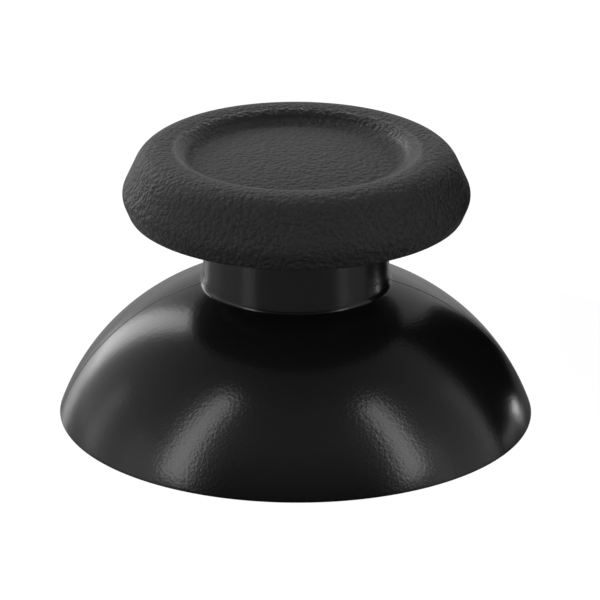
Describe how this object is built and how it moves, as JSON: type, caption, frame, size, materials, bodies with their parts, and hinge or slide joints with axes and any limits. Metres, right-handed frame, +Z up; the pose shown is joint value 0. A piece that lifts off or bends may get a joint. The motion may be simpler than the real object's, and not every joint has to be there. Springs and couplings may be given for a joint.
{
  "type": "thumbstick cap",
  "caption": "Thumbstick cap: a dished rubber thumb pad moulded over a hard plastic neck and domed skirt, with a shaft socket in a boss below.",
  "frame": {"origin": "centre of the rim that the skirt stands on, in the plane of the rim", "axes": "+Z up along the axis of the neck and socket, +X along the two flats of the socket"},
  "size_m": [0.026, 0.026, 0.0154],
  "materials": {
    "hard_plastic": "black, glossy dome and satin neck",
    "soft_rubber": "charcoal, fine leather grain"
  },
  "bodies": {
    "root": {"dome_and_neck": "hard_plastic", "rubber_thumb_pad": "soft_rubber"}
  },
  "joints": []
}
